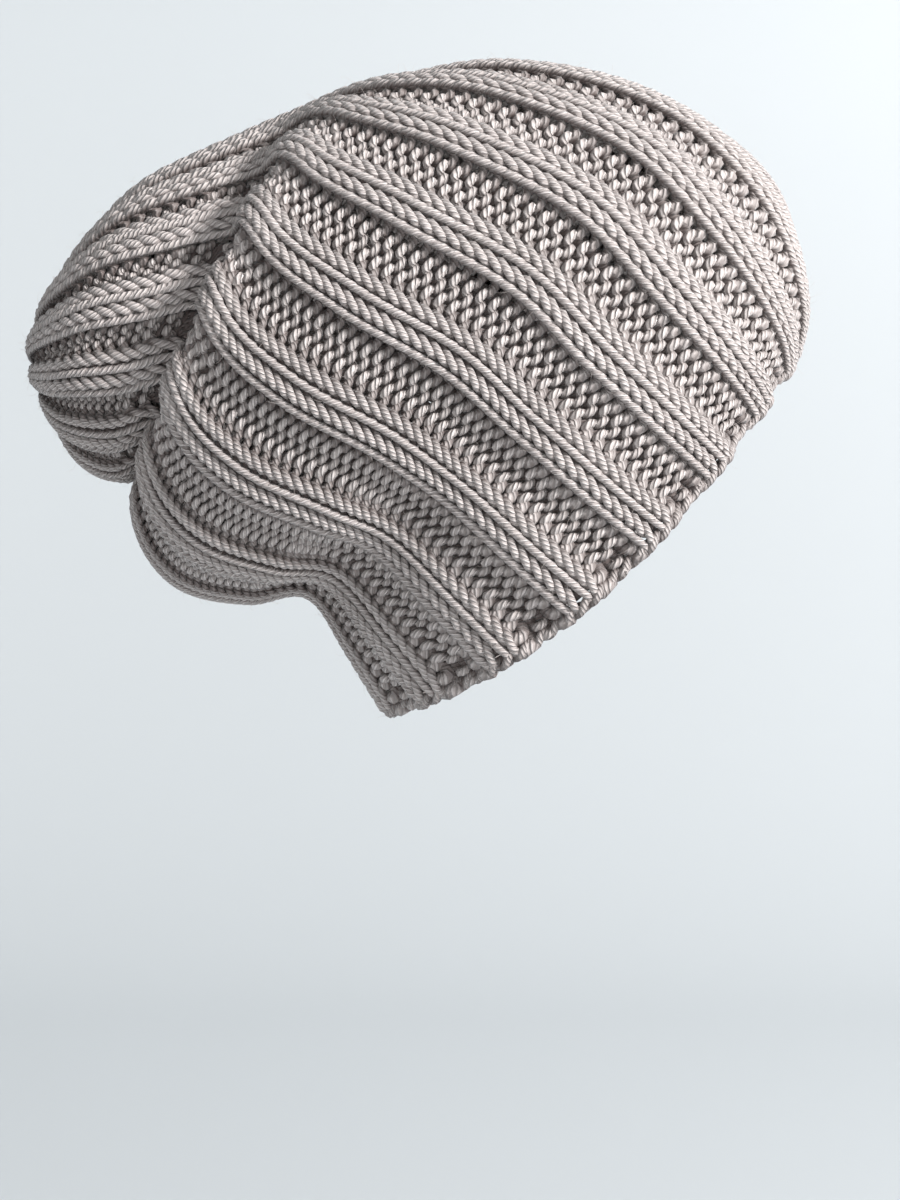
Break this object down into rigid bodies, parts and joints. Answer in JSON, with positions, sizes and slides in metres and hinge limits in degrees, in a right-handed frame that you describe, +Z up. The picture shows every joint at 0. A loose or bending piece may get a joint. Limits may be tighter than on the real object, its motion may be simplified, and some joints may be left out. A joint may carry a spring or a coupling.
{
  "type": "slouchy ribbed beanie",
  "caption": "Slouchy hand-knitted beanie in bulky rib, in its worn form: open slanted rim, full body, and a gathered crown folded down behind.",
  "frame": {"origin": "middle of the rim opening, halfway between brow and nape, where a head holds the beanie", "axes": "+Z up as worn, -Y towards the wearer's face, +X to the wearer's left"},
  "size_m": [0.1664, 0.2928, 0.2497],
  "materials": {
    "knit_yarn": "soft matt plied yarn, bulky, knitted two by two"
  },
  "bodies": {
    "root": {"knitted_body": "knit_yarn"}
  },
  "joints": []
}
